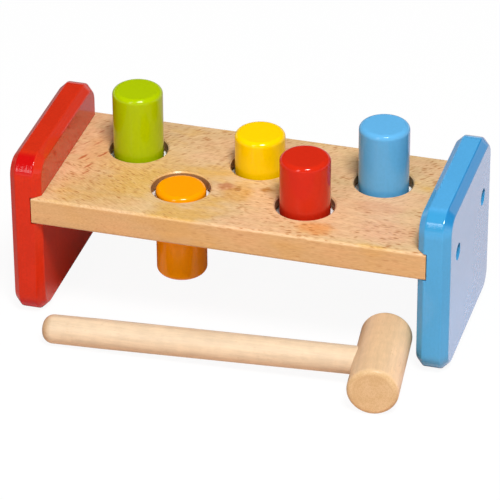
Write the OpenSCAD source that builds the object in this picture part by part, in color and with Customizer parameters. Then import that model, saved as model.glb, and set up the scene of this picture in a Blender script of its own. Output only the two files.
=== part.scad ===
// Peg pounding bench: two upright end panels carry a board with five holes in two rows.
// A soft ring in a groove of each hole grips its peg, which a small mallet drives down.
// Frame: X runs along the board, -Y is the front, +Z is up.
// The origin lies under the middle of the whole set, on the surface it stands on.

/* [End panels] */
// Length of the bench over the outer faces of the panels
bench_len = 220; // [200:1:260]
// Thickness of an end panel
panel_t = 16; // [14:0.5:20]
// Depth of a panel, front to back
panel_depth = 91; // [84:1:110]
// Height of a panel
panel_h = 88; // [82:1:110]
// Radius of the panel's four corners, seen from the side
panel_corner_r = 11.5; // [8:0.5:18]
// Width of the bevel that runs round both faces of a panel
panel_bevel = 3.6; // [1:0.1:4.5]
// Radius that eases both lines of that bevel
panel_ease_r = 1.2; // [0.4:0.1:1.6]
// Depth of the groove that the board's end sits in
dado_depth = 5; // [3:0.5:6]

/* [Board] */
// Thickness of the board
board_t = 14.6; // [12:0.2:18]
// Clear height under the board
board_clear_h = 53.2; // [50:0.2:60]
// Radius along the board's long edges
board_edge_r = 1.6; // [0.5:0.1:3]
// Distance between the two rows of holes
row_gap = 31.2; // [28:0.2:36]
// Bevel round the rim of each hole
hole_bevel = 0.7; // [0.2:0.1:1.2]

/* [Pegs] */
// Diameter of a peg
peg_d = 25; // [23:0.2:26]
// Length of a peg
peg_len = 47.2; // [44:0.2:50]
// Radius round both ends of a peg
peg_edge_r = 2.6; // [0.5:0.1:4]
// Gap between a peg and the wall of its hole
peg_gap = 2.2; // [1.6:0.1:2.6]
// Height of the green peg's top over the board
green_peg_rise = 33.2; // [0:0.1:33.2]
// Height of the orange peg's top over the board
orange_peg_rise = 0.4; // [0:0.1:33.2]
// Height of the yellow peg's top over the board
yellow_peg_rise = 18.5; // [0:0.1:33.2]
// Height of the red peg's top over the board
red_peg_rise = 26.9; // [0:0.1:33.2]
// Height of the blue peg's top over the board
blue_peg_rise = 32.1; // [0:0.1:33.2]
// Thickness of the soft ring that grips a peg
ring_cord_d = 3.8; // [3:0.1:4.4]

/* [Screws] */
// Distance between the two screws of a panel
screw_spread = 53; // [50:1:60]
// Diameter of the sunk hole that the screw's head lies in
sunk_hole_d = 8.6; // [8:0.1:10]
// Depth of the sunk hole
sunk_hole_depth = 5.5; // [4:0.5:6.5]
// Wood left between a screw's point and the groove of the nearest ring
screw_end_wood = 3; // [2:0.5:6]
// Diameter of a screw's shank
screw_shank_d = 4; // [3:0.1:4.5]
// Diameter of a screw's head
screw_head_d = 7.6; // [6.5:0.1:7.8]

/* [Mallet] */
// Diameter of the mallet's head
head_d = 25.2; // [24:0.2:30]
// Length of the mallet's head
head_len = 53.6; // [46:0.2:60]
// Radius round both ends of the head
head_edge_r = 2.6; // [0.5:0.1:4]
// From the middle of the head to the free end of the handle
handle_reach = 168; // [140:1:185]
// Diameter of the handle where it is thickest
grip_d = 14.6; // [14:0.1:17]
// From the free end to the thickest place of the handle
grip_from_end = 30; // [20:1:45]
// Diameter of the handle near its free end
handle_end_d = 14.3; // [12:0.1:15]
// Radius round the free end of the handle
handle_end_r = 5.2; // [2:0.1:5.8]
// Diameter of the handle where it enters the head
neck_d = 14; // [11:0.1:14.5]
// How far the handle reaches past the middle of the head
tenon_past = 5; // [2:0.5:8]
// Lean of the handle away from square to the head, in degrees
handle_lean = 4.5; // [0:0.5:6]
// Turn of the handle away from the line of the bench, in degrees
mallet_turn = 1.9; // [0:0.1:6]
// Distance of the head's middle in front of the panels
mallet_ahead = 13.7; // [10:0.1:40]
// From the side of the head, at its middle, to the line of the blue panel's inner face
mallet_side_gap = 1; // [0.4:0.1:30]

/* [Hidden] */
$fn = 96;

// Fits
dado_fit = 0.2;        // above and below the board in a panel's groove
board_end_gap = 0.45;  // between a board end and the bottom of the groove
ring_grip_fit = 0.05;  // between a ring and its peg
ring_seat_fit = 0.1;   // round a ring in its groove
screw_fit = 0.05;      // round a screw's shank and head
tenon_fit = 0.05;      // round the handle in the head
tenon_end_gap = 0.3;   // past the handle's inner end
overrun = 1;           // how far a cut runs past the face it opens

// Bench
half_len = bench_len / 2;
inner_x = half_len - panel_t;
board_len = 2 * (inner_x + dado_depth - board_end_gap);
board_top = board_clear_h + board_t;
board_mid = board_clear_h + board_t / 2;
hole_r = peg_d / 2 + peg_gap;
row_y = row_gap / 2;

// Places of the holes, from left to right, as shares of inner_x and row_y
green_hole_shares = [-2 / 3, 1];
orange_hole_shares = [-1 / 3, -1];
yellow_hole_shares = [0, 1];
red_hole_shares = [1 / 3, -1];
blue_hole_shares = [2 / 3, 1];
all_hole_shares = [
    green_hole_shares, orange_hole_shares, yellow_hole_shares, red_hole_shares, blue_hole_shares
];

// Rings
ring_r = peg_d / 2 + ring_grip_fit + ring_cord_d / 2;
ring_groove_r = ring_r + ring_cord_d / 2 + ring_seat_fit;
ring_groove_h = ring_cord_d + 2 * ring_seat_fit;

// Screws
screw_seat_x = half_len - sunk_hole_depth;
screw_head_h = (screw_head_d - screw_shank_d) / 2;
screw_point_h = 1.5 * screw_shank_d;
nearest_hole_x = blue_hole_shares[0] * inner_x;
nearest_hole_dy = screw_spread / 2 - row_y - screw_shank_d / 2;
nearest_groove_x = nearest_hole_x + sqrt(max(0, pow(ring_groove_r, 2) - pow(nearest_hole_dy, 2)));
screw_len = screw_seat_x - nearest_groove_x - screw_end_wood;
screw_cross_w = screw_shank_d / 4;
screw_cross_depth = screw_head_h * 0.8;

// Mallet: the head lies on its side, and the handle tips down until it touches the surface.
head_r = head_d / 2;
swell_s = handle_reach - grip_from_end;
end_arc_s = handle_reach - handle_end_r;
end_arc_r = handle_end_d / 2 - handle_end_r;
head_turn = mallet_turn + handle_lean;
function touch_tilt(s, r, drop) = asin(drop / norm([s, r])) - atan(r / s);
handle_tilt = min(
    touch_tilt(swell_s, grip_d / 2, head_r),
    touch_tilt(end_arc_s, end_arc_r, head_r - handle_end_r)
);
head_reach_y = (head_len / 2 - head_edge_r) * cos(head_turn)
    + (head_r - head_edge_r) * sin(head_turn) + head_edge_r;
swell_reach_y = swell_s * cos(handle_tilt) * sin(mallet_turn) + grip_d / 2;
end_reach_y = end_arc_s * cos(handle_tilt) * sin(mallet_turn) + end_arc_r + handle_end_r;
mallet_before_bench = panel_depth / 2 + mallet_ahead;
front_reach = mallet_before_bench + max(head_reach_y, swell_reach_y, end_reach_y);
bench_y = (front_reach - panel_depth / 2) / 2;
mallet_x = inner_x - mallet_side_gap - head_r;
mallet_y = bench_y - mallet_before_bench;

// Section of a rim: straight inside, with both outer corners rounded
module rim_section(width, height, edge_r) {
    square([width - edge_r, height]);
    translate([0, edge_r])
        square([width, height - 2 * edge_r]);
    translate([width - edge_r, edge_r])
        circle(r = edge_r);
    translate([width - edge_r, height - edge_r])
        circle(r = edge_r);
}

// A rod along +Z from the origin, with both ends rounded
module rounded_rod(r, len, edge_r) {
    rotate_extrude()
        rim_section(r, len, edge_r);
}

// Section of a panel's rim: straight inside, with both outer corners cut at 45 degrees.
// A circle at each end of a cut touches the cut and the face beside it, and so eases the line.
module bevelled_section(width, height) {
    ease_run = panel_ease_r * tan(45 / 2);
    ease_step = ease_run / sqrt(2);
    corner = [
        [width - panel_bevel - ease_run, 0],
        [width - panel_bevel + ease_step, ease_step],
        [width - ease_step, panel_bevel - ease_step],
        [width, panel_bevel + ease_run]
    ];
    far_corner = [for (i = [3:-1:0]) [corner[i][0], height - corner[i][1]]];
    polygon(concat([[0, 0]], corner, far_corner, [[0, height]]));
    for (y = [panel_ease_r, height - panel_ease_r])
        translate([width - panel_bevel - ease_run, y])
            circle(r = panel_ease_r);
    for (y = [panel_bevel + ease_run, height - panel_bevel - ease_run])
        translate([width - panel_ease_r, y])
            circle(r = panel_ease_r);
}

// A plate lying on its face, with round corners and a bevel round both faces.
// Corners are swept and sides are drawn from one section, so they meet on flat faces.
module bevelled_plate(len, width, thick, corner_r) {
    straight_x = len / 2 - corner_r;
    straight_y = width / 2 - corner_r;
    translate([-straight_x, -straight_y, 0])
        cube([2 * straight_x, 2 * straight_y, thick]);
    for (turn = [0, 180]) {
        rotate(turn) {
            translate([straight_x, straight_y, 0])
                rotate([90, 0, 0])
                    linear_extrude(2 * straight_y)
                        bevelled_section(corner_r, thick);
            translate([-straight_x, straight_y, 0])
                rotate([90, 0, 90])
                    linear_extrude(2 * straight_x)
                        bevelled_section(corner_r, thick);
            translate([straight_x, straight_y, 0])
                rotate_extrude(angle = 90)
                    bevelled_section(corner_r, thick);
            translate([-straight_x, straight_y, 0])
                rotate(90)
                    rotate_extrude(angle = 90)
                        bevelled_section(corner_r, thick);
        }
    }
}

// A screw's body of revolution, head at the origin and point along +Z, grown by a clearance
module screw_body(clearance) {
    shank_r = screw_shank_d / 2 + clearance;
    head_top_r = screw_head_d / 2 + clearance;
    rotate_extrude()
        polygon([
            [0, -clearance],
            [head_top_r, -clearance],
            [shank_r, screw_head_h],
            [shank_r, screw_len - screw_point_h],
            [0, screw_len + clearance]
        ]);
}

// Places its children at a screw's seat in the +X panel, pointing inwards
module at_screw(side_y) {
    translate([screw_seat_x, bench_y + side_y * screw_spread / 2, board_mid])
        rotate([0, -90, 0])
            children();
}

// One countersunk screw with a cross recess
module screw(side_y) {
    at_screw(side_y)
        difference() {
            screw_body(0);
            for (turn = [0, 90])
                rotate(turn)
                    translate([-screw_shank_d / 2, -screw_cross_w / 2, -overrun])
                        cube([screw_shank_d, screw_cross_w, overrun + screw_cross_depth]);
        }
}

// End panel at +X: a bevelled plate with a groove for the board and two sunk screw holes
module end_panel() {
    difference() {
        translate([inner_x, bench_y, panel_h / 2])
            rotate([90, 0, 90])
                bevelled_plate(panel_depth, panel_h, panel_t, panel_corner_r);
        translate([inner_x - overrun, bench_y - panel_depth / 2 - overrun, board_clear_h - dado_fit])
            cube([dado_depth + overrun, panel_depth + 2 * overrun, board_t + 2 * dado_fit]);
        for (side_y = [-1, 1]) {
            at_screw(side_y) {
                screw_body(screw_fit);
                translate([0, 0, -sunk_hole_depth - overrun])
                    cylinder(d = sunk_hole_d, h = sunk_hole_depth + overrun);
            }
        }
    }
}

module red_end_panel() {
    color("red")
        mirror([1, 0, 0])
            end_panel();
}

module blue_end_panel() {
    color("deepskyblue")
        end_panel();
}

// Places its children on a hole's axis, at a height
module at_hole(hole_shares, z) {
    translate([hole_shares[0] * inner_x, bench_y + hole_shares[1] * row_y, z])
        children();
}

// What is cut for one hole: the bore, a bevel at each face and the ring's groove
module hole_cut() {
    cut_h = board_t + 2 * overrun;
    bevel_h = hole_bevel + overrun;
    translate([0, 0, -cut_h / 2])
        cylinder(r = hole_r, h = cut_h);
    translate([0, 0, -ring_groove_h / 2])
        cylinder(r = ring_groove_r, h = ring_groove_h);
    for (face = [0, 1])
        mirror([0, 0, face])
            translate([0, 0, board_t / 2 - hole_bevel])
                cylinder(r1 = hole_r, r2 = hole_r + bevel_h, h = bevel_h);
}

// The board: rounded along its long edges, five holes, and pilot holes in its ends
module board() {
    color("burlywood")
        difference() {
            translate([-board_len / 2, bench_y, board_clear_h])
                rotate([90, 0, 90])
                    linear_extrude(board_len)
                        board_section();
            for (hole_shares = all_hole_shares)
                at_hole(hole_shares, board_mid)
                    hole_cut();
            for (side_x = [0, 1], side_y = [-1, 1])
                mirror([side_x, 0, 0])
                    at_screw(side_y)
                        screw_body(screw_fit);
        }
}

module board_section() {
    half_depth = panel_depth / 2;
    rim_section(half_depth, board_t, board_edge_r);
    mirror([1, 0])
        rim_section(half_depth, board_t, board_edge_r);
}

// A peg in its hole, with its top at a height over the board
module peg(hole_shares, rise) {
    at_hole(hole_shares, board_top + rise - peg_len)
        rounded_rod(peg_d / 2, peg_len, peg_edge_r);
}

module green_peg() {
    color("yellowgreen")
        peg(green_hole_shares, green_peg_rise);
}

module orange_peg() {
    color("orange")
        peg(orange_hole_shares, orange_peg_rise);
}

module yellow_peg() {
    color("gold")
        peg(yellow_hole_shares, yellow_peg_rise);
}

module red_peg() {
    color("crimson")
        peg(red_hole_shares, red_peg_rise);
}

module blue_peg() {
    color("dodgerblue")
        peg(blue_hole_shares, blue_peg_rise);
}

// A round ring, held in the groove half way down its hole
module peg_ring(hole_shares) {
    color("white")
        at_hole(hole_shares, board_mid)
            rotate_extrude()
                translate([ring_r, 0])
                    circle(d = ring_cord_d);
}

module screws_of(mirrored, side_y) {
    color("silver")
        mirror([mirrored, 0, 0])
            screw(side_y);
}

// Places its children at the middle of the mallet's head, turned with the head
module at_mallet() {
    translate([mallet_x, mallet_y, head_r])
        rotate(head_turn)
            children();
}

// Turns +Z to run along the handle, towards its free end
module along_handle() {
    rotate(-handle_lean)
        rotate([0, -(90 + handle_tilt), 0])
            children();
}

// Head: a turned cylinder lying on its side, bored for the handle
module mallet_head() {
    color("tan")
        at_mallet()
            difference() {
                rotate([90, 0, 0])
                    translate([0, 0, -head_len / 2])
                        rounded_rod(head_r, head_len, head_edge_r);
                along_handle()
                    translate([0, 0, -tenon_past - tenon_end_gap])
                        cylinder(d = neck_d + 2 * tenon_fit, h = tenon_past + tenon_end_gap + head_d);
            }
}

// Handle: turned, straight in the head, widest near its free end, which is rounded
module mallet_handle() {
    color("wheat")
        at_mallet()
            along_handle()
                rotate_extrude() {
                    polygon([
                        [0, -tenon_past],
                        [neck_d / 2, -tenon_past],
                        [neck_d / 2, head_r],
                        [grip_d / 2, swell_s],
                        [handle_end_d / 2, end_arc_s],
                        [end_arc_r, end_arc_s],
                        [end_arc_r, handle_reach],
                        [0, handle_reach]
                    ]);
                    translate([end_arc_r, end_arc_s])
                        intersection() {
                            circle(r = handle_end_r);
                            square(handle_end_r);
                        }
                }
}

red_end_panel();
blue_end_panel();
board();
green_peg();
orange_peg();
yellow_peg();
red_peg();
blue_peg();
peg_ring(green_hole_shares);  // green_peg_ring
peg_ring(orange_hole_shares);  // orange_peg_ring
peg_ring(yellow_hole_shares);  // yellow_peg_ring
peg_ring(red_hole_shares);  // red_peg_ring
peg_ring(blue_hole_shares);  // blue_peg_ring
screws_of(1, -1);  // red_panel_front_screw
screws_of(1, 1);  // red_panel_back_screw
screws_of(0, -1);  // blue_panel_front_screw
screws_of(0, 1);  // blue_panel_back_screw
mallet_head();
mallet_handle();
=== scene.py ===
import math

import bpy
from bpy.props import FloatProperty, FloatVectorProperty, PointerProperty
from mathutils import Matrix, Vector


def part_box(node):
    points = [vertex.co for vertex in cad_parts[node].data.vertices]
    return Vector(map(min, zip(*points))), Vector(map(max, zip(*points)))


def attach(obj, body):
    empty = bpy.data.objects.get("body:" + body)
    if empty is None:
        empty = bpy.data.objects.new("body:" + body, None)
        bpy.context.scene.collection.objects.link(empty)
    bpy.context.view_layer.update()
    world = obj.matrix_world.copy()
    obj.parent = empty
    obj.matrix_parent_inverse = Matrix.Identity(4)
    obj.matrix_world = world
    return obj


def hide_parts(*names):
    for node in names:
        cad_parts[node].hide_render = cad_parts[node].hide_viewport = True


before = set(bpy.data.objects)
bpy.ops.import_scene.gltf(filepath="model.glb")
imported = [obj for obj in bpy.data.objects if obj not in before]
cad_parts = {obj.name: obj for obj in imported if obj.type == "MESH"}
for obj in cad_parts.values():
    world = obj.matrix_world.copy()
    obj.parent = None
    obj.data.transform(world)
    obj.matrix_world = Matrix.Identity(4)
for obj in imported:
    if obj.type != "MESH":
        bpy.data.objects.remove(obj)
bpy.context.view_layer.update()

bl_info = {
    "name": "Peg pounding bench",
    "version": (1, 0, 0),
    "blender": (4, 5, 0),
    "location": "3D View > Sidebar > Bench",
    "description": "Dresses the pieces of a wooden peg pounding bench and sets up its studio",
    "category": "Object",
}

MM = 0.001
WHITE = (1, 1, 1)

PEGS = ("green", "orange", "yellow", "red", "blue")
PANELS = ("red", "blue")

# Rings and screws, most of it as shares of what carries them
RING_HEIGHT_SHARE = 0.68
RING_ROUND_SHARE = 0.36
RING_STEPS = 128
RING_FIT = 0.05 * MM
RING_SMOOTH_ANGLE = math.radians(40)
SCREW_SIDES = 32
SCREW_SMOOTH_ANGLE = math.radians(30)
SHANK_SHARE = 0.526
NECK_SHARE = 0.34
ROOT_SHARE = 0.74
THREAD_PITCH_SHARE = 0.85
RECESS_SHARE = 0.5
RECESS_WIDTH_SHARE = 0.24
MERGE_WITHIN = 0.002 * MM
CUT_WITHIN = 0.0001 * MM

# Points this far out, as a share of the farthest, count as a far end's rim
RIM_SHARE = 0.985

# Fine lines under the lacquer: their turn, their size and their depth
LEVEL = (0, 0, 0)
UPRIGHT = (0, math.radians(90), 0)
SANDED = (LEVEL, 0.9 * MM, 26.0)
TURNED = (UPRIGHT, 0.5 * MM, 2.0)

# Index of refraction of lacquer and of waxed wood
LACQUER_IOR = 1.32
WOOD_IOR = 1.35

# Lie of the board's fibres at its front left, front right and back, and of its bold strokes, in degrees
FIBRE_LIES = (24, 2, -40)
BOLD_LIE = -64

# From the board's middle: where that lie turns on the way right and on the way back, how far the turn
# sways, and where the painted shade inside the holes begins and lies whole
RIGHT_TURN = (-50 * MM, -15 * MM)
BACK_TURN = (-10 * MM, 10 * MM)
TURN_SWAY = 45 * MM
HOLES_WITHIN = (42 * MM, 38 * MM)

# Tinted figure on the board: centre and reach from its middle in mm, strength, and tint
BOARD_FIGURE = (
    (-54, 0, 26, 20, 0.55, (214, 167, 96)),
    (-70, -30, 26, 18, 0.6, (212, 166, 98)),
    (-3, -14, 9, 11, 0.7, (214, 156, 72)),
    (-10, -9, 5.5, 3.5, 0.95, (196, 130, 88)),
    (-4, -10, 1.6, 3.5, 0.9, (168, 106, 44)),
    (10, -7, 4, 3, 0.9, (176, 112, 50)),
    (42, -36, 11, 6, 0.8, (222, 150, 80)),
    (75, -30, 17, 12, 0.6, (226, 168, 128)),
    (66, -9, 16, 7, 0.5, (214, 150, 108)),
    (-80, 5, 10, 28, 0.5, (220, 160, 104)),
    (-66, 6, 20, 26, 0.45, (222, 174, 118)),
    (-16, 30, 30, 14, 0.4, (214, 170, 122)),
)

# Where the bold strokes lie: centre and reach, measured as the figure is
BOLD_PATCH = (-79, 10, 17, 34)

# Heights between which the room goes from white to dim in glossy surfaces
HORIZON = (0.1, 0.35)

# The camera's sensor in mm, and the nearest that the camera sees
SENSOR_WIDTH = 36
NEAREST_SEEN = 50 * MM


def shade(red, green, blue):
    """A display colour, 0 to 255 a channel, as the linear colour that a shader takes."""
    linear = []
    for level in (red, green, blue):
        part = level / 255
        linear.append(part / 12.92 if part <= 0.04045 else ((part + 0.055) / 1.055) ** 2.4)
    return tuple(linear)


# Settings that a user may change


def colour_setting(name, description, default):
    """A colour, in a shader's linear parts."""
    return FloatVectorProperty(
        name=name, description=description, default=default, subtype="COLOR", size=3, min=0, max=1)


def share_setting(name, description, default):
    """A share from nothing to all."""
    return FloatProperty(name=name, description=description, default=default, min=0, max=1)


def length_setting(name, description, default):
    """A length in metres."""
    return FloatProperty(name=name, description=description, default=default, unit="LENGTH")


def angle_setting(name, description, degrees):
    """An angle, given here in degrees."""
    return FloatProperty(
        name=name, description=description, default=math.radians(degrees), subtype="ANGLE", unit="ROTATION")


class CameraSettings(bpy.types.PropertyGroup):
    """Where the camera stands and what it looks at"""

    azimuth: angle_setting("Azimuth", "Turn of the camera to the right of the bench's front", 16.11)
    elevation: angle_setting("Elevation", "Angle of the camera above the floor", 31.42)
    roll: angle_setting("Roll", "Tilt of the camera about its own axis", -0.30)
    distance: length_setting("Distance", "From the camera to the point it looks at", 1.774)
    lens: FloatProperty(
        name="Lens", description="Focal length in millimetres on a sensor 36 mm wide", default=259.87)
    aim: FloatVectorProperty(
        name="Aim", description="Point that the camera looks at, from the bench's middle on the floor",
        default=(1.857 * MM, -9.768 * MM, 33.79 * MM), subtype="TRANSLATION", unit="LENGTH")


class StudioSettings(bpy.types.PropertyGroup):
    """Lamps, floor and surroundings"""

    key_azimuth: angle_setting("Key azimuth", "Turn of the main lamp to the right of the bench's front", 31)
    key_elevation: angle_setting("Key elevation", "Height of the main lamp over the floor, as an angle", 61)
    key_power: FloatProperty(
        name="Key power", description="Power of the main lamp", default=58.5, unit="POWER")
    key_size: length_setting("Key size", "Width of the main lamp", 0.62)
    side_azimuth: angle_setting(
        "Side azimuth", "Turn of the tall lamp to the right of the bench's front", -17)
    side_elevation: angle_setting(
        "Side elevation", "Height of the tall lamp over the floor, as an angle", 35)
    side_power: FloatProperty(
        name="Side power", description="Power of the tall lamp", default=12, unit="POWER")
    side_size: FloatVectorProperty(
        name="Side size", description="Width and height of the tall lamp", default=(0.4, 1.5),
        size=2, unit="LENGTH")
    lamp_distance: length_setting("Lamp distance", "From the bench to both lamps", 2.5)
    fill: FloatProperty(
        name="Fill", description="Strength of the light from all round", default=0.21, min=0)
    room_glow: FloatProperty(
        name="Room glow", description="How bright the room looks in glossy surfaces", default=0.03, min=0)
    floor_colour: colour_setting("Floor", "Colour of the paper floor", (0.95, 0.95, 0.95))
    floor_bounce: colour_setting(
        "Floor bounce", "How much light the floor throws back on the bench", (0.80, 0.58, 0.47))
    floor_glow: share_setting("Floor glow", "Share of the floor's white that shadows don't touch", 0.93)
    mirrored_floor: colour_setting(
        "Mirrored floor", "The floor's rosy white, as glossy surfaces show it", (0.80, 0.74, 0.86))
    # Painted shade: the floor under the bench, darker in glossy surfaces
    mirrored_shade_between: colour_setting(
        "Mirrored floor between", "The floor between the panels, as glossy surfaces show it",
        (0.66, 0.50, 0.48))
    mirrored_front: share_setting(
        "Mirrored front", "How bright the floor before the bench looks in glossy surfaces", 0.28)
    floor_width: length_setting("Floor width", "Width of the square floor", 12)


class PaintSettings(bpy.types.PropertyGroup):
    """Colours and coats of the painted pieces"""

    red_panel: colour_setting("Red panel", "Paint of the left panel", shade(208, 47, 20))
    # Painted shade at the left panel's rounded corners
    red_corner: colour_setting(
        "Red corner", "Deeper red at the rounded corners of the left panel", shade(196, 14, 14))
    # Painted light on the left panel's bevels that face right
    red_bevel: colour_setting(
        "Red bevel", "Red on the bevels that face right on the left panel", shade(210, 52, 28))
    red_mottle: share_setting("Red mottle", "How uneven the red panel's lacquer is", 0.06)
    red_coat: share_setting("Red clear coat", "How much clear lacquer lies over the red panel", 0.28)
    blue_panel: colour_setting("Blue panel", "Paint of the right panel", shade(83, 168, 222))
    # Painted shade at the right panel's rounded corners
    blue_corner: colour_setting(
        "Blue corner", "Deeper blue at the rounded corners of the right panel", shade(60, 152, 204))
    # Painted shade on the right panel's bevels that face right
    blue_bevel: colour_setting(
        "Blue bevel", "Blue on the bevels that face right on the right panel", shade(40, 136, 198))
    blue_mottle: share_setting("Blue mottle", "How uneven the blue panel's lacquer is", 0.03)
    blue_coat: share_setting("Blue clear coat", "How much clear lacquer lies over the blue panel", 0.9)
    green_peg: colour_setting("Green peg", "Paint of the green peg", shade(171, 194, 0))
    orange_peg: colour_setting("Orange peg", "Paint of the orange peg", shade(253, 156, 0))
    yellow_peg: colour_setting("Yellow peg", "Paint of the yellow peg", shade(255, 208, 0))
    red_peg: colour_setting("Red peg", "Paint of the red peg", shade(207, 41, 18))
    blue_peg: colour_setting("Blue peg", "Paint of the blue peg", shade(97, 174, 224))
    peg_mottle: share_setting("Peg mottle", "How uneven the pegs' lacquer is", 0.025)
    peg_coat: share_setting("Peg clear coat", "How much clear lacquer lies over the pegs", 0.28)


class WoodSettings(bpy.types.PropertyGroup):
    """Tones and grain of the bare wood"""

    beech: colour_setting("Beech", "Middle tone of the board", shade(221, 184, 136))
    beech_yellow: colour_setting("Beech, yellow", "Yellower patches of the board", shade(220, 174, 98))
    beech_pink: colour_setting("Beech, pink", "Pinker patches of the board", shade(228, 182, 138))
    beech_fleck: colour_setting("Beech fleck", "Short dark flecks of the board", shade(178, 112, 54))
    beech_pale: colour_setting("Beech, pale", "Pale fibres of the board", shade(242, 206, 156))
    # Painted shade: darker, warmer upright sides of the board
    beech_side_shade: colour_setting(
        "Beech, edges", "What the board's upright sides keep of its tone", (0.93, 0.84, 0.73))
    beech_red: colour_setting(
        "Beech, red", "Bold reddish strokes beside the left panel", shade(184, 88, 36))
    # Painted shade inside the board's holes
    beech_bore_shade: colour_setting("Beech, cut", "Cut grain inside the board's holes", shade(118, 68, 42))
    fleck_length: length_setting("Fleck length", "Room along the grain for each fleck", 4.4 * MM)
    fleck_width: length_setting("Fleck width", "Room across the grain for each fleck", 1.25 * MM)
    head_side: colour_setting("Mallet head", "Side of the mallet's head", shade(222, 187, 146))
    head_end: colour_setting("Mallet head end", "End grain of the mallet's head", shade(225, 192, 147))
    handle: colour_setting("Mallet handle", "Pale wood of the handle", shade(226, 201, 169))
    handle_end: colour_setting("Mallet handle end", "Domed end of the handle", shade(206, 170, 132))


# Where things are, worked out from the frame


def middle(node):
    """The middle of a CAD node's box."""
    low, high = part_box(node)
    return (low + high) / 2


def bench_middle():
    """The point on the floor under the middle of the bench."""
    place = (middle("red_end_panel") + middle("blue_end_panel")) / 2
    return Vector((place.x, place.y, 0))


def towards(azimuth, elevation):
    """The direction that an azimuth to the right of the front and an elevation give."""
    level = math.cos(elevation)
    return Vector((math.sin(azimuth) * level, -math.cos(azimuth) * level, math.sin(elevation)))


def reach_of(node, start, side):
    """From a start to the middle of a node's far end, on the side that a direction points to."""
    points = [vertex.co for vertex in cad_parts[node].data.vertices]
    points = [point for point in points if (point - start).dot(side) > 0]
    farthest = max((point - start).length for point in points)
    rim = [point for point in points if (point - start).length > RIM_SHARE * farthest]
    return sum(rim, Vector()) / len(rim) - start


# Node building


def set_inputs(tree, node, inputs):
    """Sets a node's inputs, or links them where a socket is given. Colours are set opaque."""
    for key, value in inputs.items():
        socket = node.inputs[key]
        if isinstance(value, bpy.types.NodeSocket):
            tree.links.new(value, socket)
        elif socket.type == "RGBA":
            socket.default_value = (*value, 1.0)
        else:
            socket.default_value = value


def add_node(tree, kind, inputs=None, **settings):
    """Adds a shader node with its properties and inputs."""
    node = tree.nodes.new(kind)
    for name, value in settings.items():
        setattr(node, name, value)
    set_inputs(tree, node, inputs or {})
    return node


def add_math(tree, operation, *values, clamp=False):
    """Adds a Math node and returns its value."""
    inputs = dict(enumerate(values))
    return add_node(tree, "ShaderNodeMath", inputs, operation=operation, use_clamp=clamp).outputs[0]


def add_product(tree, value, *shares):
    """Multiplies a value by others, one after another."""
    for share in shares:
        value = add_math(tree, "MULTIPLY", value, share)
    return value


def add_vector_math(tree, operation, *values):
    """Adds a Vector Math node and returns its vector."""
    inputs = dict(enumerate(values))
    return add_node(tree, "ShaderNodeVectorMath", inputs, operation=operation).outputs[0]


def add_length(tree, vector):
    """The length of a vector."""
    return add_node(tree, "ShaderNodeVectorMath", {0: vector}, operation="LENGTH").outputs["Value"]


def add_ramp(tree, value, low, high, low_out=0.0, high_out=1.0):
    """Carries a value smoothly from one range to another, and holds it at the ends."""
    inputs = {"Value": value, "From Min": low, "From Max": high, "To Min": low_out, "To Max": high_out}
    return add_node(tree, "ShaderNodeMapRange", inputs, interpolation_type="SMOOTHSTEP").outputs[0]


def add_edge(tree, value, edge, before, past, low_out=0.0):
    """Fades in over an edge, from a length before it to a length past it."""
    return add_ramp(tree, value, edge - before, edge + past, low_out)


def add_mix(tree, factor, first, second, blend="MIX"):
    """Mixes two colours."""
    inputs = {0: factor, 6: first, 7: second}
    return add_node(tree, "ShaderNodeMix", inputs, data_type="RGBA", blend_type=blend).outputs[2]


def add_blend(tree, factor, first, second):
    """Mixes two values."""
    return add_node(tree, "ShaderNodeMix", {0: factor, 2: first, 3: second}, data_type="FLOAT").outputs[0]


def add_shader_mix(tree, factor, first, second):
    """Mixes two shaders."""
    return add_node(tree, "ShaderNodeMixShader", {0: factor, 1: first, 2: second}).outputs[0]


def add_grey(tree, value):
    """A grey as bright as a value."""
    return add_node(tree, "ShaderNodeCombineColor", {0: value, 1: value, 2: value}).outputs[0]


def add_split(tree, vector):
    """The three parts of a vector."""
    return add_node(tree, "ShaderNodeSeparateXYZ", {0: vector}).outputs


def add_facing(tree):
    """How far the surface faces right, back and up, each from -1 to 1."""
    return add_split(tree, add_node(tree, "ShaderNodeTexCoord").outputs["Normal"])


def add_turn(tree, vector, degrees):
    """A place turned about the upright axis."""
    inputs = {"Vector": vector, "Rotation": (0, 0, math.radians(degrees))}
    return add_node(tree, "ShaderNodeMapping", inputs).outputs[0]


def add_noise(tree, vector, scale, detail, roughness=0.5, output="Fac"):
    """A noise over a place."""
    inputs = {"Vector": vector, "Scale": scale, "Detail": detail, "Roughness": roughness}
    return add_node(tree, "ShaderNodeTexNoise", inputs).outputs[output]


def add_ruffle(tree, vector, scale, detail, reach):
    """A drift that changes from place to place, up to half a reach each way."""
    noise = add_noise(tree, vector, scale, detail, output="Color")
    return add_vector_math(
        tree, "MULTIPLY", add_vector_math(tree, "SUBTRACT", noise, (0.5, 0.5, 0.5)), reach)


def add_stretch(tree, vector, length, width):
    """A place counted in lengths along X and in widths across it."""
    along = add_math(tree, "DIVIDE", 1.0, length)
    across = add_math(tree, "DIVIDE", 1.0, width)
    counts = add_node(tree, "ShaderNodeCombineXYZ", {0: along, 1: across, 2: across}).outputs[0]
    return add_vector_math(tree, "MULTIPLY", vector, counts)


# Shared effects


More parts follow.
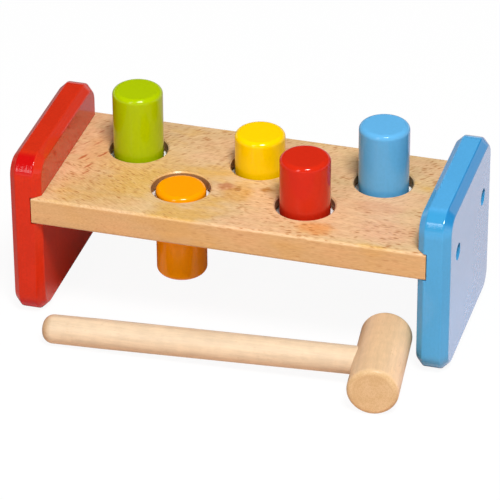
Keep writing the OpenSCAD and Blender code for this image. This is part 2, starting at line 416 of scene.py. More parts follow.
def new_group(name, inputs, outputs):
    """A node group with named inputs, a vector where the default is None, and named values as outputs.

    Returns the tree and the given inputs.
    """
    tree = bpy.data.node_groups.new(name, "ShaderNodeTree")
    for socket_name, default in inputs.items():
        kind = "NodeSocketVector" if default is None else "NodeSocketFloat"
        socket = tree.interface.new_socket(socket_name, in_out="INPUT", socket_type=kind)
        if default is not None:
            socket.default_value = default
    for socket_name in outputs:
        tree.interface.new_socket(socket_name, in_out="OUTPUT", socket_type="NodeSocketFloat")
    return tree, tree.nodes.new("NodeGroupInput").outputs


def end_group(tree, results):
    """Links a group's results to its named outputs."""
    set_inputs(tree, tree.nodes.new("NodeGroupOutput"), results)


def use_group(tree, name, inputs):
    """Places a node group in a material, with its own values. Returns its outputs."""
    return add_node(tree, "ShaderNodeGroup", inputs, node_tree=bpy.data.node_groups[name]).outputs


def add_streaks(tree, vector, length, width, waver=0.0, detail=3.0):
    """Streaks along X, as a value."""
    inputs = {"Vector": vector, "Length": length, "Width": width, "Waver": waver, "Detail": detail}
    return use_group(tree, "Grain Streaks", inputs)["Value"]


def add_flecks(tree, vector, length, width, share, size):
    """Short flecks along X, as a mask."""
    inputs = {"Vector": vector, "Length": length, "Width": width, "Share": share, "Size": size}
    return use_group(tree, "Ray Flecks", inputs)["Mask"]


def add_patch(tree, vector, half_thick, x, y, reach_x, reach_y):
    """A soft patch on a board, as a mask, by its centre and reach in mm."""
    centre = (x * MM, y * MM, half_thick)
    reach = (reach_x * MM, reach_y * MM, half_thick)
    return use_group(tree, "Soft Patch", {"Vector": vector, "Centre": centre, "Reach": reach})["Mask"]


def make_streaks_group():
    """Streaks that run along X: a noise drawn out along the grain."""
    tree, given = new_group(
        "Grain Streaks",
        {"Vector": None, "Length": 30 * MM, "Width": 2 * MM, "Detail": 3.0, "Waver": 0.0}, ["Value"])
    drift = add_ruffle(tree, given["Vector"], 14.0, 1.0, given["Waver"])
    bent = add_vector_math(tree, "ADD", given["Vector"], drift)
    place = add_stretch(tree, bent, given["Length"], given["Width"])
    end_group(tree, {"Value": add_noise(tree, place, 1.0, given["Detail"], roughness=0.6)})


def make_flecks_group():
    """Short flecks that lie along X, each with its own strength."""
    tree, given = new_group(
        "Ray Flecks",
        {"Vector": None, "Length": 3 * MM, "Width": 1 * MM, "Share": 0.6, "Size": 0.42}, ["Mask"])
    drift = add_ruffle(tree, given["Vector"], 420.0, 1.0, (0.0, 0.9 * MM, 0.9 * MM))
    bent = add_vector_math(tree, "ADD", given["Vector"], drift)
    place = add_stretch(tree, bent, given["Length"], given["Width"])
    cells = add_node(tree, "ShaderNodeTexVoronoi", {"Vector": place, "Scale": 1.0}, feature="F1").outputs
    lot, size, strength = add_node(tree, "ShaderNodeSeparateColor", {0: cells["Color"]}).outputs
    reach = add_product(tree, given["Size"], add_ramp(tree, size, 0.0, 1.0, 0.6, 1.2))
    body = add_ramp(tree, add_math(tree, "DIVIDE", cells["Distance"], reach), 0.35, 1.0, 1.0, 0.0)
    kept = add_math(tree, "LESS_THAN", lot, given["Share"])
    shown = add_ramp(tree, strength, 0.0, 1.0, 0.35, 1.0)
    end_group(tree, {"Mask": add_product(tree, body, kept, shown)})


def make_patch_group():
    """A soft round patch with a ruffled rim."""
    tree, given = new_group(
        "Soft Patch", {"Vector": None, "Centre": None, "Reach": None, "Ruffle": 6 * MM}, ["Mask"])
    drift = add_ruffle(tree, given["Vector"], 150.0, 3.0, given["Ruffle"])
    moved = add_vector_math(tree, "SUBTRACT", given["Vector"], given["Centre"])
    scaled = add_vector_math(tree, "DIVIDE", add_vector_math(tree, "ADD", moved, drift), given["Reach"])
    end_group(tree, {"Mask": add_ramp(tree, add_length(tree, scaled), 1.15, 0.45)})


def make_lacquer_group():
    """What a brushed lacquer does over wood: uneven tone, soft waves, and faint lines of the grain."""
    tree, given = new_group(
        "Lacquer Skin",
        {"Vector": None, "Line Length": 20 * MM, "Line Width": 0.8 * MM, "Wave Size": 3 * MM},
        ["Tone", "Roughness", "Height"])
    place = given["Vector"]
    lines = add_streaks(
        tree, place, given["Line Length"], given["Line Width"], waver=2 * MM, detail=2.0)
    waves = add_noise(tree, place, add_math(tree, "DIVIDE", 1.0, given["Wave Size"]), 2.0)
    cloud = add_noise(tree, place, 55.0, 3.0)
    smear = add_noise(tree, place, 160.0, 4.0, roughness=0.7)
    speck = add_noise(tree, place, 700.0, 2.0)
    tone = add_ramp(tree, cloud, 0.3, 0.7, -0.4, 0.4)
    tone = add_math(tree, "ADD", tone, add_ramp(tree, lines, 0.25, 0.75, -0.3, 0.3))
    tone = add_math(tree, "ADD", tone, add_ramp(tree, speck, 0.35, 0.65, -0.4, 0.4))
    height = add_math(tree, "ADD", add_product(tree, lines, 0.6), add_product(tree, waves, 0.4))
    end_group(tree, {"Tone": tone, "Roughness": add_ramp(tree, smear, 0.35, 0.75), "Height": height})


def make_rings_group():
    """Growth rings round X, as end grain shows them, with fine pores."""
    tree, given = new_group("Growth Rings", {"Vector": None, "Ring Width": 2.4 * MM}, ["Rings", "Pores"])
    drift = add_ruffle(tree, given["Vector"], 90.0, 2.0, (0.0, 6 * MM, 6 * MM))
    bent = add_vector_math(tree, "ADD", given["Vector"], drift)
    radius = add_length(tree, add_vector_math(tree, "MULTIPLY", bent, (0.0, 1.0, 1.0)))
    turns = add_product(tree, add_math(tree, "DIVIDE", radius, given["Ring Width"]), math.tau)
    drawn_out = add_vector_math(tree, "MULTIPLY", given["Vector"], (0.2, 1.0, 1.0))
    end_group(tree, {
        "Rings": add_ramp(tree, add_math(tree, "SINE", turns), -1.0, 1.0),
        "Pores": add_noise(tree, drawn_out, 1500.0, 2.0),
    })


# Materials


def open_tree(owner):
    """Turns on the nodes of a material or a world, and returns its emptied tree."""
    owner.use_nodes = True
    owner.node_tree.nodes.clear()
    return owner.node_tree


def new_material(name):
    """A material with a Principled shader. Returns the material, its tree and the shader."""
    material = bpy.data.materials.new(name)
    tree = open_tree(material)
    shader = add_node(tree, "ShaderNodeBsdfPrincipled")
    add_node(tree, "ShaderNodeOutputMaterial", {"Surface": shader.outputs[0]})
    return material, tree, shader


def object_place(tree, centre=(0, 0, 0), turn=LEVEL):
    """Object coordinates, moved so that a centre is zero, and then turned."""
    coordinates = add_node(tree, "ShaderNodeTexCoord").outputs["Object"]
    moved = add_vector_math(tree, "SUBTRACT", coordinates, tuple(centre))
    inputs = {"Vector": moved, "Rotation": tuple(turn)}
    return add_node(tree, "ShaderNodeMapping", inputs, vector_type="POINT").outputs[0]


def set_bump(tree, shader, height, strength, distance):
    """Lets a height field bend the shader's normal."""
    bump = add_node(tree, "ShaderNodeBump", {"Height": height, "Strength": strength, "Distance": distance})
    tree.links.new(bump.outputs[0], shader.inputs["Normal"])


def lacquer_material(name, colours, centre, fine_lines, mottle, coat):
    """Coloured lacquer on upright grain, over the fine lines of sanding or turning.

    The lines lie in flat planes square to X once the place is turned. The corner shade colour is
    painted shade where the surface turns from the front to the top, and the bevel shade colour is
    painted light and shade where it slopes to the right. The coat is thinner where the surface faces
    left, and the broad sides are smooth.
    """
    material, tree, shader = new_material(name)
    colour, corner, bevel = colours
    line_turn, line_size, line_depth = fine_lines
    skin = use_group(
        tree, "Lacquer Skin",
        {"Vector": object_place(tree, centre, UPRIGHT), "Line Length": 22 * MM, "Line Width": 0.9 * MM,
         "Wave Size": 3.2 * MM})
    lines = add_streaks(
        tree, object_place(tree, centre, line_turn), length=line_size, width=12 * MM, detail=1.0)
    deep = [(1 - mottle) * part for part in colour]
    light = [min(1.0, (1 + 0.6 * mottle) * part) for part in colour]
    paint = add_mix(tree, add_ramp(tree, skin["Tone"], -0.6, 0.6), deep, light)
    to_right, to_back, upward = add_facing(tree)
    # Painted shade: the corner shade colour where the surface turns from the front to the top
    slant = add_math(tree, "ABSOLUTE", add_product(tree, to_back, upward))
    paint = add_mix(tree, add_ramp(tree, slant, 0.12, 0.42), paint, corner)
    # Painted light and shade: the bevel shade colour where the surface slopes to the right
    slope = add_product(tree, to_right, upward)
    paint = add_mix(tree, add_ramp(tree, slope, 0.15, 0.42), paint, bevel)
    set_inputs(tree, shader, {
        "Base Color": paint,
        "Roughness": add_ramp(tree, skin["Roughness"], 0.0, 1.0, 0.08, 0.13),
        "IOR": LACQUER_IOR,
        "Coat Weight": add_ramp(tree, to_right, -0.6, 0.0, 0.0, coat),
        "Coat IOR": LACQUER_IOR,
        "Coat Roughness": 0.08,
    })
    height = add_math(tree, "ADD", skin["Height"], add_product(tree, lines, line_depth))
    off_sides = add_ramp(tree, add_math(tree, "ABSOLUTE", to_right), 0.9, 0.99, 1.0, 0.0)
    height = add_product(tree, height, off_sides)
    set_bump(tree, shader, height, strength=0.08, distance=0.03 * MM)
    return material


def beech_material(name, wood, centre):
    """The board's beech: mottled tone, fibres and flecks whose lie turns across the board, and figure, with
    painted shade on its upright sides and inside its holes.
    """
    material, tree, shader = new_material(name)
    place = object_place(tree, centre)
    half_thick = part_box("board")[1].z - centre.z
    across, depth = add_split(tree, place)[:2]
    upward = add_math(tree, "ABSOLUTE", add_facing(tree)[2])
    on_face = add_ramp(tree, upward, 0.2, 0.9, 0.4, 1.0)
    patches = add_noise(tree, add_vector_math(tree, "MULTIPLY", place, (0.55, 1.0, 1.0)), 42.0, 3.0)

    # Fibres and flecks
    sway = add_product(tree, add_math(tree, "SUBTRACT", patches, 0.5), TURN_SWAY)
    towards_back = add_ramp(tree, add_math(tree, "ADD", depth, sway), *BACK_TURN)
    towards_right = add_ramp(tree, add_math(tree, "ADD", across, sway), *RIGHT_TURN)
    flecks, fibres = [], []
    for degrees in FIBRE_LIES:
        lie = add_turn(tree, place, degrees)
        flecks.append(add_flecks(tree, lie, wood.fleck_length, wood.fleck_width, share=0.8, size=0.45))
        fibres.append(add_streaks(tree, lie, length=3.6 * MM, width=0.5 * MM, waver=3 * MM, detail=1.0))
    fleck = add_blend(tree, towards_back, add_blend(tree, towards_right, flecks[0], flecks[1]), flecks[2])
    fibre = add_blend(tree, towards_back, add_blend(tree, towards_right, fibres[0], fibres[1]), fibres[2])
    thicket = add_ramp(tree, add_noise(tree, place, 75.0, 1.0), 0.37, 0.54, 0.2, 1.0)
    fleck = add_product(tree, fleck, thicket, on_face)

    # Tone
    pink_share = add_product(tree, add_ramp(tree, patches, 0.46, 0.62), on_face)
    yellow_share = add_product(tree, add_ramp(tree, patches, 0.48, 0.36), on_face)
    colour = add_mix(tree, pink_share, wood.beech, wood.beech_pink)
    colour = add_mix(tree, yellow_share, colour, wood.beech_yellow)
    for x, y, reach_x, reach_y, share, tint in BOARD_FIGURE:
        patch = add_patch(tree, place, half_thick, x, y, reach_x, reach_y)
        colour = add_mix(tree, add_product(tree, patch, share), colour, shade(*tint))
    streaks = add_streaks(tree, place, length=60 * MM, width=3 * MM, waver=10 * MM)
    tone = add_grey(tree, add_ramp(tree, streaks, 0.3, 0.7, 0.95, 1.03))
    colour = add_mix(tree, 1.0, colour, tone, blend="MULTIPLY")
    # Painted shade: the upright sides take a darker, warmer tone than the top
    edge = add_mix(tree, 1.0, colour, wood.beech_side_shade, blend="MULTIPLY")
    colour = add_mix(tree, add_ramp(tree, upward, 0.1, 0.5), edge, colour)

    # Marks on the tone
    pale = add_product(tree, add_ramp(tree, fibre, 0.50, 0.70, 0.0, 0.45), on_face)
    dark = add_product(tree, add_ramp(tree, fibre, 0.48, 0.30, 0.0, 0.4), on_face)
    colour = add_mix(tree, pale, colour, wood.beech_pale)
    colour = add_mix(tree, dark, colour, wood.beech_fleck)
    colour = add_mix(tree, add_product(tree, fleck, 0.9), colour, wood.beech_fleck)
    bold = add_flecks(
        tree, add_turn(tree, place, BOLD_LIE), length=10 * MM, width=1.9 * MM, share=0.85, size=0.46)
    bold = add_product(tree, bold, add_patch(tree, place, half_thick, *BOLD_PATCH), 0.95)
    colour = add_mix(tree, bold, colour, wood.beech_red)
    # Painted shade: the walls of the holes darken towards this colour
    inside = add_ramp(tree, add_math(tree, "ABSOLUTE", depth), *HOLES_WITHIN)
    bore_shade = add_product(tree, inside, add_ramp(tree, upward, 0.6, 0.3, 0.0, 0.5))
    colour = add_mix(tree, bore_shade, colour, wood.beech_bore_shade)

    set_inputs(tree, shader, {
        "Base Color": colour,
        "Roughness": add_math(tree, "ADD", add_ramp(tree, fibre, 0.2, 0.8, 0.36, 0.48), bore_shade),
        "IOR": WOOD_IOR,
        "Coat Weight": add_ramp(tree, upward, 0.1, 0.6, 0.1, 0.4),
        "Coat IOR": WOOD_IOR,
        "Coat Roughness": 0.2,
    })
    height = add_math(tree, "SUBTRACT", add_product(tree, fibre, 0.5), fleck)
    set_bump(tree, shader, height, strength=0.35, distance=0.07 * MM)
    return material


def turned_wood_material(node, side, end, way, end_fade, streak_depth, right_side_light):
    """Wood that was turned on a lathe: streaks along its reach, and growth rings on the end faces.

    The reach is from the mallet head's middle to the node's end that points a way. The end's
    colour fades in over a length, and the side that faces right gets painted light, its tone raised by a
    factor.
    """
    centre = middle("mallet_head")
    reach = reach_of(node, centre, Vector(way))
    material, tree, shader = new_material(f"{node.replace('_', ' ')} wood")
    place = object_place(tree, centre, (0, 0, -math.atan2(reach.y, reach.x)))
    streaks = add_streaks(tree, place, length=60 * MM, width=2.6 * MM, waver=6 * MM)
    fibres = add_streaks(tree, place, length=5 * MM, width=0.5 * MM, waver=2 * MM)
    flecks = add_flecks(tree, place, length=2.4 * MM, width=0.8 * MM, share=0.4, size=0.36)
    mottle = add_noise(tree, place, 170.0, 3.0)

    # Side grain, with painted light on the side that faces right
    tone = add_product(
        tree, add_ramp(tree, streaks, 0.3, 0.7, 1 - streak_depth, 1.03),
        add_ramp(tree, fibres, 0.25, 0.75, 0.95, 1.03), add_ramp(tree, mottle, 0.35, 0.65, 0.97, 1.03),
        add_ramp(tree, add_facing(tree)[0], 0.2, 1.0, 1.0, right_side_light))
    side_colour = add_mix(tree, 1.0, side, add_grey(tree, tone), blend="MULTIPLY")
    fleck_colour = [part * share for part, share in zip(side, (0.84, 0.74, 0.62))]
    side_colour = add_mix(tree, add_product(tree, flecks, 0.45), side_colour, fleck_colour)

    # End grain
    rings = use_group(tree, "Growth Rings", {"Vector": place, "Ring Width": 2.3 * MM})
    ring_share = add_product(tree, rings["Rings"], 0.2)
    ring_share = add_math(tree, "ADD", ring_share, add_ramp(tree, mottle, 0.35, 0.65, 0.0, 0.5))
    pores = add_ramp(tree, rings["Pores"], 0.4, 0.65, 0.0, 0.6)
    ring_share = add_math(tree, "ADD", ring_share, pores, clamp=True)
    dark_end = [part * share for part, share in zip(end, (0.86, 0.80, 0.70))]
    end_colour = add_mix(tree, ring_share, end, dark_end)
    end_place = reach.length - 0.1 * MM
    along = add_math(tree, "ABSOLUTE", add_split(tree, place)[0])
    at_end = add_ramp(tree, along, end_place - end_fade, end_place)

    set_inputs(tree, shader, {
        "Base Color": add_mix(tree, at_end, side_colour, end_colour),
        "Roughness": add_ramp(tree, fibres, 0.2, 0.8, 0.36, 0.50),
        "IOR": WOOD_IOR,
        "Coat Weight": 0.3,
        "Coat IOR": WOOD_IOR,
        "Coat Roughness": 0.25,
    })
    set_bump(tree, shader, fibres, strength=0.25, distance=0.05 * MM)
    return material


def rubber_material(name):
    """Soft white rubber with a faint matt skin."""
    material, tree, shader = new_material(name)
    place = object_place(tree)
    fine = add_noise(tree, place, 900.0, 3.0)
    cloud = add_ramp(tree, add_noise(tree, place, 120.0, 2.0), 0.35, 0.65)
    set_inputs(tree, shader, {
        "Base Color": add_mix(tree, cloud, shade(250, 249, 246), shade(240, 238, 232)),
        "Roughness": add_ramp(tree, fine, 0.3, 0.7, 0.42, 0.58),
    })
    set_bump(tree, shader, fine, strength=0.2, distance=0.03 * MM)
    return material


def steel_material(name):
    """Zinc-plated steel, slightly cloudy."""
    material, tree, shader = new_material(name)
    cloud = add_noise(tree, object_place(tree), 900.0, 4.0)
    tone = add_ramp(tree, cloud, 0.3, 0.7)
    set_inputs(tree, shader, {
        "Base Color": add_mix(tree, tone, shade(200, 201, 204), shade(172, 174, 178)),
        "Roughness": add_ramp(tree, cloud, 0.3, 0.7, 0.22, 0.42),
        "Metallic": 1.0,
    })
    set_bump(tree, shader, cloud, strength=0.2, distance=0.02 * MM)
    return material


def dress(node, material):
    """Gives a CAD node its one material."""
    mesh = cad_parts[node].data
    mesh.materials.clear()
    mesh.materials.append(material)


# Modelling


def start_piece():
    """Leaves the object mode's selection empty, ready for a new primitive."""
    bpy.ops.object.select_all(action="DESELECT")


def select_only(piece):
    """Makes a piece the one selected and active object."""
    start_piece()
    piece.select_set(True)
    bpy.context.view_layer.objects.active = piece


def edit_all():
    """Opens the active piece in edit mode, with all of it selected."""
    bpy.ops.object.mode_set(mode="EDIT")
    bpy.ops.mesh.select_all(action="SELECT")


def end_edit():
    """Goes back to object mode."""
    bpy.ops.object.mode_set(mode="OBJECT")


def close_mesh(piece, smooth_angle):
    """Merges doubles, turns the faces outwards and shades what is smooth."""
    select_only(piece)
    edit_all()
    bpy.ops.mesh.remove_doubles(threshold=MERGE_WITHIN)
    bpy.ops.mesh.normals_make_consistent(inside=False)
    end_edit()
    bpy.ops.object.shade_smooth_by_angle(angle=smooth_angle)


def apply_place():
    """Carries the selected object's place, turn and scale into its mesh."""
    bpy.ops.object.transform_apply(location=True, rotation=True, scale=True)


def place_copy(model, name, matrix, material):
    """A copy of a model with its own mesh, carried to its place in that mesh."""
    select_only(model)
    bpy.ops.object.duplicate(linked=False)
    piece = bpy.context.object
    piece.name = name
    piece.matrix_world = matrix
    apply_place()
    piece.data.materials.clear()
    piece.data.materials.append(material)
    return piece


def cut_or_join(piece, other, operation):
    """Cuts, joins or crosses a piece with another, which is used up."""
    modifier = piece.modifiers.new(operation.lower(), "BOOLEAN")
    modifier.operation = operation
    modifier.solver = "EXACT"
    modifier.object = other
    select_only(piece)
    bpy.ops.object.modifier_apply(modifier=modifier.name)
    bpy.data.objects.remove(other)


def model_ring(inner, outer, height):
    """A flat soft ring: a rounded section, pressed flat where it meets peg and groove, spun round Z."""
    start_piece()
    bpy.ops.mesh.primitive_plane_add(size=1, location=(0, 0, 0))
    ring = bpy.context.object
    edit_all()
    bpy.ops.transform.resize(value=(outer - inner, height, 1))
    bpy.ops.mesh.bevel(offset=RING_ROUND_SHARE * height, offset_pct=0, segments=8, affect="VERTICES")
    end_edit()
    ring.rotation_euler = (math.radians(90), 0, 0)
    ring.location = ((inner + outer) / 2, 0, 0)
    apply_place()
    edit_all()
    bpy.ops.mesh.delete(type="ONLY_FACE")
    bpy.ops.mesh.select_all(action="SELECT")
    bpy.ops.mesh.spin(steps=RING_STEPS, angle=math.tau, center=(0, 0, 0), axis=(0, 0, 1))
    end_edit()
    close_mesh(ring, RING_SMOOTH_ANGLE)
    return ring


def model_rod(stations):
    """A solid of revolution round Z: a disc drawn out through stations of height and radius."""
    start_piece()
    height, radius = stations[0]
    bpy.ops.mesh.primitive_circle_add(
        vertices=SCREW_SIDES, radius=radius, fill_type="NGON", location=(0, 0, 0))
    rod = bpy.context.object
    edit_all()
    bpy.ops.transform.translate(value=(0, 0, height))
    for next_height, next_radius in stations[1:]:
        bpy.ops.mesh.extrude_region_move(TRANSFORM_OT_translate={"value": (0, 0, next_height - height)})
        bpy.ops.transform.resize(
            value=(next_radius / radius, next_radius / radius, 1), center_override=(0, 0, next_height))
        height, radius = next_height, next_radius
    end_edit()
    close_mesh(rod, SCREW_SMOOTH_ANGLE)
    return rod


def model_thread(top, bottom, root, crest):
    """A threaded core between two heights: one turn's outline run round and up, then capped."""
    pitch = THREAD_PITCH_SHARE * crest
    rise = crest - root
    start_piece()
    bpy.ops.mesh.primitive_plane_add(size=root, location=(0, 0, 0))
    thread = bpy.context.object
    edit_all()
    bpy.ops.mesh.merge(type="CENTER")
    bpy.ops.transform.translate(value=(root, 0, bottom - pitch))
    for out, up_share in ((0, 0.55), (rise, 0.2), (0, 0.05), (-rise, 0.2)):
        bpy.ops.mesh.extrude_region_move(TRANSFORM_OT_translate={"value": (out, 0, up_share * pitch)})
    end_edit()
    modifier = thread.modifiers.new("screw", "SCREW")
    modifier.screw_offset = pitch
    modifier.iterations = math.ceil((top - bottom) / pitch) + 2
    modifier.steps = SCREW_SIDES
    modifier.render_steps = SCREW_SIDES
    bpy.ops.object.modifier_apply(modifier=modifier.name)
    close_mesh(thread, SCREW_SMOOTH_ANGLE)
    edit_all()
    for height, way in ((top, 1), (bottom, -1)):
        bpy.ops.mesh.select_all(action="SELECT")
        bpy.ops.mesh.bisect(
            plane_co=(0, 0, height), plane_no=(0, 0, way), clear_outer=True, use_fill=True,
            threshold=CUT_WITHIN)
    end_edit()
    close_mesh(thread, SCREW_SMOOTH_ANGLE)
    return thread


def model_screw(head_radius, length):
    """A countersunk wood screw: its head's face at the origin, facing up, with a cross recess."""
    shank = SHANK_SHARE * head_radius
    root = ROOT_SHARE * shank
    neck_end = -NECK_SHARE * length
    rim = -0.12 * head_radius
    head = model_rod([
        (0, 0.97 * head_radius),
        (rim / 2, head_radius),
        (rim, head_radius),
        (rim - (head_radius - shank), 0.96 * shank),
        (neck_end, 0.96 * shank),
        (neck_end - 0.1 * length, 0.5 * root),
    ])
    for degrees in (0, 90):
        recess = model_rod([
            (0.3 * head_radius, RECESS_SHARE * head_radius),
            (-0.34 * head_radius, RECESS_SHARE * head_radius),
            (-0.42 * head_radius, RECESS_SHARE * head_radius / 2),
        ])
        recess.scale = (1.0, RECESS_WIDTH_SHARE, 1.0)
        recess.rotation_euler = (0, 0, math.radians(degrees))
        apply_place()
        cut_or_join(head, recess, "DIFFERENCE")
    thread = model_thread(neck_end - 0.02 * length, -length, root, 0.98 * shank)
    point = model_rod([
        (0, 1.2 * shank), (-0.76 * length, 1.2 * shank), (-0.997 * length, 0.05 * shank),
    ])
    cut_or_join(thread, point, "INTERSECT")
    cut_or_join(head, thread, "UNION")
    close_mesh(head, SCREW_SMOOTH_ANGLE)
    return head


# The stage


def make_floor(studio):
    """A plain white paper floor that keeps a soft shadow.

    The camera sees paper that is mostly a white glow. Glossy surfaces see it darker between the
    panels, as painted shade under the bench, and dim before and left of the bench. Other rays see the tone
    that it throws back.
    """
    start_piece()
    bpy.ops.mesh.primitive_plane_add(size=studio.floor_width, location=(0, 0, 0))
    floor = bpy.context.object
    floor.name = "paper_floor"
    material = bpy.data.materials.new("paper")
    tree = open_tree(material)
    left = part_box("red_end_panel")[0].x
    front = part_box("blue_end_panel")[0].y
    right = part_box("blue_end_panel")[1].x
    across, depth = add_split(tree, add_node(tree, "ShaderNodeTexCoord").outputs["Object"])[:2]
    behind_front = add_edge(tree, depth, front, before=30 * MM, past=15 * MM)
    past_left = add_edge(tree, across, left, before=80 * MM, past=10 * MM, low_out=0.1)
    past_right = add_edge(tree, across, right, before=30 * MM, past=0)
    # Painted shade: the floor between the panels is darker in glossy surfaces
    lit = add_mix(tree, past_right, studio.mirrored_shade_between, studio.mirrored_floor)
    dim = [studio.mirrored_front] * 3
    mirrored_colour = add_mix(tree, add_product(tree, behind_front, past_left), dim, lit)

    paper, bounce, mirrored = [
        add_node(tree, "ShaderNodeBsdfDiffuse", {"Color": colour}).outputs[0]
        for colour in (studio.floor_colour, studio.floor_bounce, mirrored_colour)]
    glow = add_node(tree, "ShaderNodeEmission", {"Color": WHITE, "Strength": 1.0}).outputs[0]
    path = add_node(tree, "ShaderNodeLightPath").outputs
    seen = add_math(tree, "ADD", path["Is Camera Ray"], path["Is Glossy Ray"])
    seen = add_math(tree, "ADD", seen, path["Is Transmission Ray"], clamp=True)
    white = add_shader_mix(tree, studio.floor_glow, paper, glow)
    shown = add_shader_mix(tree, path["Is Glossy Ray"], white, mirrored)
    surface = add_shader_mix(tree, seen, bounce, shown)
    add_node(tree, "ShaderNodeOutputMaterial", {"Surface": surface})
    floor.data.materials.append(material)


def make_world(scene, studio):
    """Even light all round, white to the camera. Glossy surfaces see it white near the horizon only."""
    world = bpy.data.worlds.new("studio")
    scene.world = world
    tree = open_tree(world)
    path = add_node(tree, "ShaderNodeLightPath").outputs
    height = add_split(tree, add_node(tree, "ShaderNodeTexCoord").outputs["Generated"])[2]
    mirrored = add_grey(tree, add_ramp(tree, height, *HORIZON, 1.0, studio.room_glow))
    fill = add_mix(tree, path["Is Glossy Ray"], [studio.fill] * 3, mirrored)
    seen = add_math(tree, "ADD", path["Is Camera Ray"], path["Is Transmission Ray"], clamp=True)
    colour = add_mix(tree, seen, fill, WHITE)
    background = add_node(tree, "ShaderNodeBackground", {"Color": colour, "Strength": 1.0})
    add_node(tree, "ShaderNodeOutputWorld", {"Surface": background.outputs[0]})


def make_lamp(name, way, power, size, distance):
    """A soft lamp of a width and height that faces the bench from a way and a distance."""
    data = bpy.data.lights.new(name, "AREA")
    data.energy = power
    data.shape = "RECTANGLE"
    data.size, data.size_y = size
    lamp = bpy.data.objects.new(name, data)
    bpy.context.scene.collection.objects.link(lamp)
    lamp.location = bench_middle() + way * distance
    lamp.rotation_euler = way.to_track_quat("Z", "Y").to_euler()


def make_camera(scene):
    """A camera at the fitted viewing angle."""
    settings = scene.bench_camera
    data = bpy.data.cameras.new("camera")
    data.lens = settings.lens
    data.sensor_width = SENSOR_WIDTH
    data.clip_start = NEAREST_SEEN
    camera = bpy.data.objects.new("camera", data)
    scene.collection.objects.link(camera)
    back = towards(settings.azimuth, settings.elevation)
    level_right = Vector((math.cos(settings.azimuth), math.sin(settings.azimuth), 0))
    level_up = back.cross(level_right)
    right = level_right * math.cos(settings.roll) + level_up * math.sin(settings.roll)
    up = level_up * math.cos(settings.roll) - level_right * math.sin(settings.roll)
    turn = Matrix((right, up, back)).transposed().to_4x4()
    place = bench_middle() + Vector(settings.aim) + back * settings.distance
    camera.matrix_world = Matrix.Translation(place) @ turn
    scene.camera = camera


# Operators: one for each piece or group of like pieces


class BENCH_OT_end_panels(bpy.types.Operator):
    """Lacquer the two end panels, each in its own colours"""

    bl_idname = "bench.end_panels"
    bl_label = "End panels"

    def execute(self, context):
        paint = context.scene.bench_paint
        for colour in PANELS:
            node = f"{colour}_end_panel"
            # The corner and bevel shades are painted light and shade, set by which way the surface faces
            colours = [getattr(paint, f"{colour}_{where}") for where in ("panel", "corner", "bevel")]
            dress(node, lacquer_material(
                f"{colour} panel lacquer", colours, middle(node), SANDED,
                getattr(paint, f"{colour}_mottle"), getattr(paint, f"{colour}_coat")))
        return {"FINISHED"}


class BENCH_OT_board(bpy.types.Operator):
    """Give the board its beech"""

    bl_idname = "bench.board"
    bl_label = "Board"

    def execute(self, context):
        dress("board", beech_material("board beech", context.scene.bench_wood, middle("board")))
        return {"FINISHED"}


class BENCH_OT_pegs(bpy.types.Operator):
    """Lacquer the five pegs"""

    bl_idname = "bench.pegs"
    bl_label = "Pegs"

    def execute(self, context):
        paint = context.scene.bench_paint
        for colour in PEGS:
            node = f"{colour}_peg"
            colours = [getattr(paint, node)] * 3
            dress(node, lacquer_material(
                f"{colour} peg lacquer", colours, middle(node), TURNED, paint.peg_mottle, paint.peg_coat))
        return {"FINISHED"}


class BENCH_OT_rings(bpy.types.Operator):
    """Model a soft grip ring and lay a copy in the groove of each hole"""

    bl_idname = "bench.rings"
    bl_label = "Grip rings"

    def execute(self, context):
        rubber = rubber_material("ring rubber")
        low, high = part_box("green_peg_ring")
        peg_low, peg_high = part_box("green_peg")
        outer = (high.x - low.x) / 2
        inner = (peg_high.x - peg_low.x) / 2 + RING_FIT
        height = RING_HEIGHT_SHARE * (high.z - low.z)
        model = model_ring(inner, outer, height)
        for colour in PEGS:
            node = f"{colour}_peg_ring"
            place = middle(node)
            place.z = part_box(node)[0].z + height / 2
            ring = place_copy(model, f"{colour}_grip_ring", Matrix.Translation(place), rubber)
            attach(ring, "bench")
            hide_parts(node)
        bpy.data.objects.remove(model)
        return {"FINISHED"}


class BENCH_OT_screws(bpy.types.Operator):
    """Model a countersunk wood screw and put a copy in each of the four screw holes"""

    bl_idname = "bench.screws"
    bl_label = "Screws"

    def execute(self, context):
        steel = steel_material("screw steel")
        low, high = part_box("blue_panel_front_screw")
        model = model_screw((high.z - low.z) / 2, high.x - low.x)
        for colour, side in (("red", -1), ("blue", 1)):
            facing = Matrix.Rotation(side * math.radians(90), 4, "Y")
            for row in ("front", "back"):
                node = f"{colour}_panel_{row}_screw"
                low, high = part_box(node)
                place = middle(node)
                place.x = high.x if side > 0 else low.x
                seat = Matrix.Translation(place) @ facing
                screw = place_copy(model, f"{colour}_{row}_wood_screw", seat, steel)
                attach(screw, "bench")
                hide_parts(node)
        bpy.data.objects.remove(model)
        return {"FINISHED"}


class BENCH_OT_mallet_head(bpy.types.Operator):
    """Give the mallet's head its wood, with end grain on both faces"""

    bl_idname = "bench.mallet_head"
    bl_label = "Mallet head"

    def execute(self, context):
        wood = context.scene.bench_wood
        # Painted light: the head's side that faces right is made lighter
        dress("mallet_head", turned_wood_material(
            "mallet_head", wood.head_side, wood.head_end, way=(0, -1, 0), end_fade=1.6 * MM,
            streak_depth=0.05, right_side_light=1.45))
        return {"FINISHED"}


class BENCH_OT_mallet_handle(bpy.types.Operator):
    """Give the mallet's handle its pale wood"""

    bl_idname = "bench.mallet_handle"
    bl_label = "Mallet handle"

    def execute(self, context):
        wood = context.scene.bench_wood
        dress("mallet_handle", turned_wood_material(
            "mallet_handle", wood.handle, wood.handle_end, way=(-1, 0, 0), end_fade=5 * MM,
            streak_depth=0.09, right_side_light=1.0))
        return {"FINISHED"}


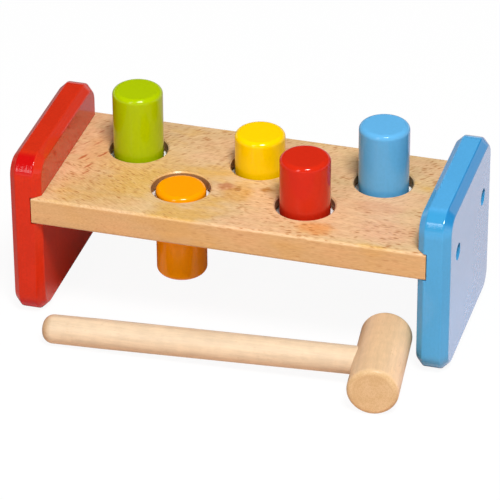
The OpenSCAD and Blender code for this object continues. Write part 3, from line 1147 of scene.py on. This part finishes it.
class BENCH_OT_stage(bpy.types.Operator):
    """Set up the floor, the surroundings, the lamps and the camera"""

    bl_idname = "bench.stage"
    bl_label = "Stage"

    def execute(self, context):
        studio = context.scene.bench_studio
        make_floor(studio)
        make_world(context.scene, studio)
        key_way = towards(studio.key_azimuth, studio.key_elevation)
        side_way = towards(studio.side_azimuth, studio.side_elevation)
        make_lamp("key lamp", key_way, studio.key_power, [studio.key_size] * 2, studio.lamp_distance)
        make_lamp("side lamp", side_way, studio.side_power, studio.side_size, studio.lamp_distance)
        make_camera(context.scene)
        context.scene.view_settings.view_transform = "Standard"
        return {"FINISHED"}


# Registration


class BENCH_PT_sidebar(bpy.types.Panel):
    """Lists the steps that dress the bench"""

    bl_label = "Peg pounding bench"
    bl_idname = "BENCH_PT_sidebar"
    bl_space_type = "VIEW_3D"
    bl_region_type = "UI"
    bl_category = "Bench"

    def draw(self, context):
        for step in STEPS:
            self.layout.operator(step.bl_idname)


STEPS = (
    BENCH_OT_end_panels,
    BENCH_OT_board,
    BENCH_OT_pegs,
    BENCH_OT_rings,
    BENCH_OT_screws,
    BENCH_OT_mallet_head,
    BENCH_OT_mallet_handle,
    BENCH_OT_stage,
)

SETTINGS = {
    "bench_camera": CameraSettings,
    "bench_studio": StudioSettings,
    "bench_paint": PaintSettings,
    "bench_wood": WoodSettings,
}


def register():
    for settings_class in SETTINGS.values():
        bpy.utils.register_class(settings_class)
    for name, settings_class in SETTINGS.items():
        setattr(bpy.types.Scene, name, PointerProperty(type=settings_class))
    for step in STEPS:
        bpy.utils.register_class(step)
    bpy.utils.register_class(BENCH_PT_sidebar)


def unregister():
    bpy.utils.unregister_class(BENCH_PT_sidebar)
    for step in reversed(STEPS):
        bpy.utils.unregister_class(step)
    for name in SETTINGS:
        delattr(bpy.types.Scene, name)
    for settings_class in reversed(list(SETTINGS.values())):
        bpy.utils.unregister_class(settings_class)


def main():
    register()
    make_streaks_group()
    make_flecks_group()
    make_patch_group()
    make_lacquer_group()
    make_rings_group()
    bpy.ops.bench.end_panels()
    bpy.ops.bench.board()
    bpy.ops.bench.pegs()
    bpy.ops.bench.rings()
    bpy.ops.bench.screws()
    bpy.ops.bench.mallet_head()
    bpy.ops.bench.mallet_handle()
    bpy.ops.bench.stage()


if __name__ == "__main__":
    main()
